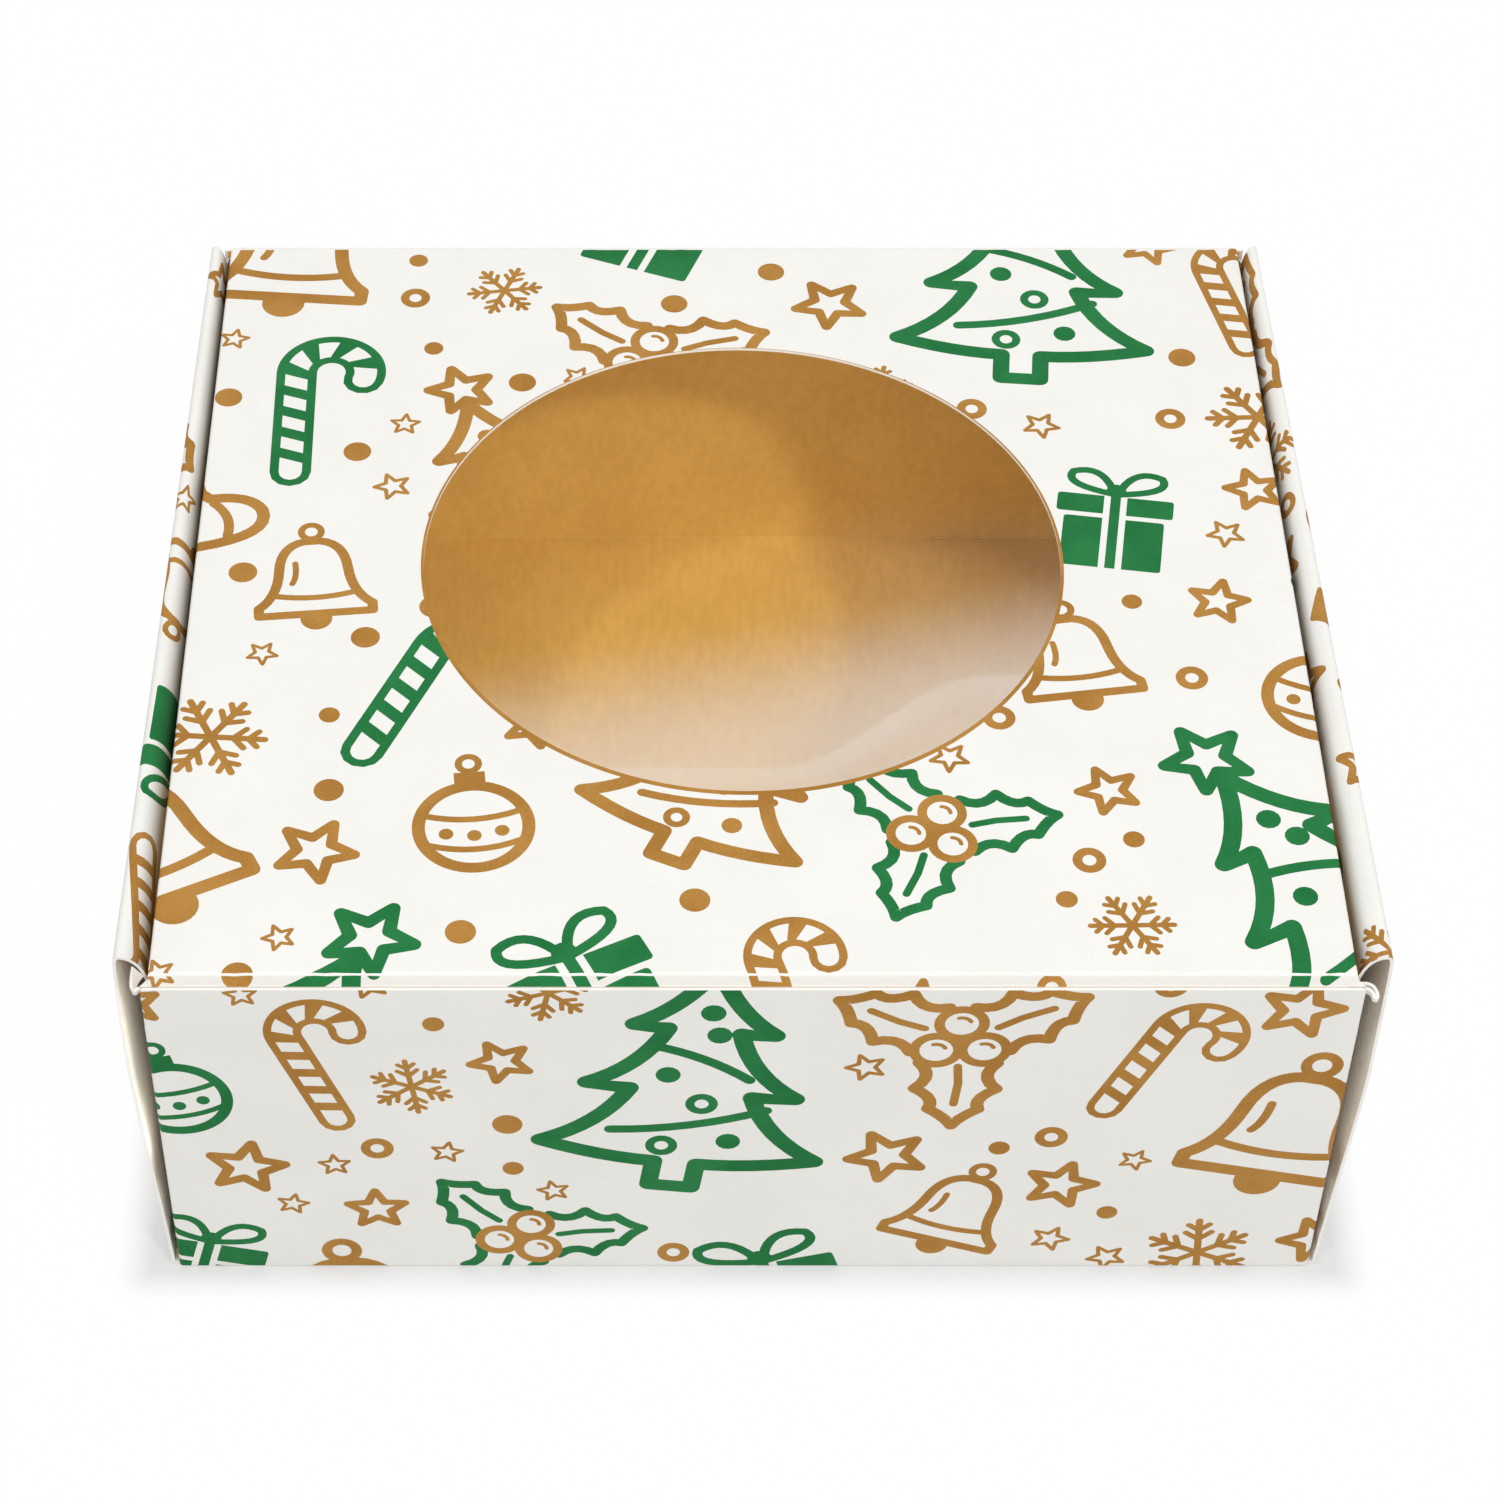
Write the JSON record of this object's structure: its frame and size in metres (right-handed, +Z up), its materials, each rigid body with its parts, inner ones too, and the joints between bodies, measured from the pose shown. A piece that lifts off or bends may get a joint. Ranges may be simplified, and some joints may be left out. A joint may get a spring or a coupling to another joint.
{
  "type": "window cookie box",
  "caption": "Low square paperboard gift box with hollow rolled side walls and a hinged tuck-in lid that has a round clear film window, for holding cookies.",
  "frame": {"origin": "middle of the underside, at the level the box stands on", "axes": "+Z up, +X to the right seen from the front, the front wall faces -Y and the lid hinges along the back at +Y"},
  "size_m": [0.1702, 0.1534, 0.0659],
  "materials": {
    "coated_board": "white coated carton board with a slight sheen",
    "clear_film": "clear glossy polyester film"
  },
  "bodies": {
    "tray": {"bottom_panel": "coated_board", "front_wall": "coated_board", "back_wall": "coated_board", "front_left_dust_flap": "coated_board", "front_right_dust_flap": "coated_board", "back_left_dust_flap": "coated_board", "back_right_dust_flap": "coated_board", "left_outer_wall": "coated_board", "right_outer_wall": "coated_board", "left_roll_top": "coated_board", "right_roll_top": "coated_board", "left_inner_wall": "coated_board", "right_inner_wall": "coated_board"},
    "lid": {"lid_panel": "coated_board", "lid_front_strip": "coated_board", "window_film": "clear_film"},
    "left_wing": {"left_lid_wing": "coated_board"},
    "right_wing": {"right_lid_wing": "coated_board"},
    "tuck_flap": {"lid_tuck_flap": "coated_board", "left_corner_fold": "coated_board", "right_corner_fold": "coated_board"},
    "left_ear": {"left_lock_ear": "coated_board"},
    "right_ear": {"right_lock_ear": "coated_board"}
  },
  "joints": [
    {"name": "lid_hinge", "type": "hinge", "parent": "tray", "child": "lid", "pos_m": [0, 0.076, 0.06325], "axis": [-1, 0, 0], "range_deg": [0, 180]},
    {"name": "left_wing_fold", "type": "hinge", "parent": "lid", "child": "left_wing", "pos_m": [-0.07945, 0, 0.06315], "axis": [0, -1, 0], "range_deg": [0, 80]},
    {"name": "right_wing_fold", "type": "hinge", "parent": "lid", "child": "right_wing", "pos_m": [0.07945, 0, 0.06315], "axis": [0, 1, 0], "range_deg": [0, 80]},
    {"name": "tuck_flap_fold", "type": "hinge", "parent": "lid", "child": "tuck_flap", "pos_m": [0, -0.07518, 0.06198], "axis": [1, 0, 0], "range_deg": [0, 30]},
    {"name": "left_ear_fold", "type": "hinge", "parent": "tuck_flap", "child": "left_ear", "pos_m": [-0.0792, -0.07283, 0.04715], "axis": [0, 0.1219, -0.9925], "range_deg": [0, 80]},
    {"name": "right_ear_fold", "type": "hinge", "parent": "tuck_flap", "child": "right_ear", "pos_m": [0.0792, -0.07283, 0.04715], "axis": [0, -0.1219, 0.9925], "range_deg": [0, 80]}
  ]
}
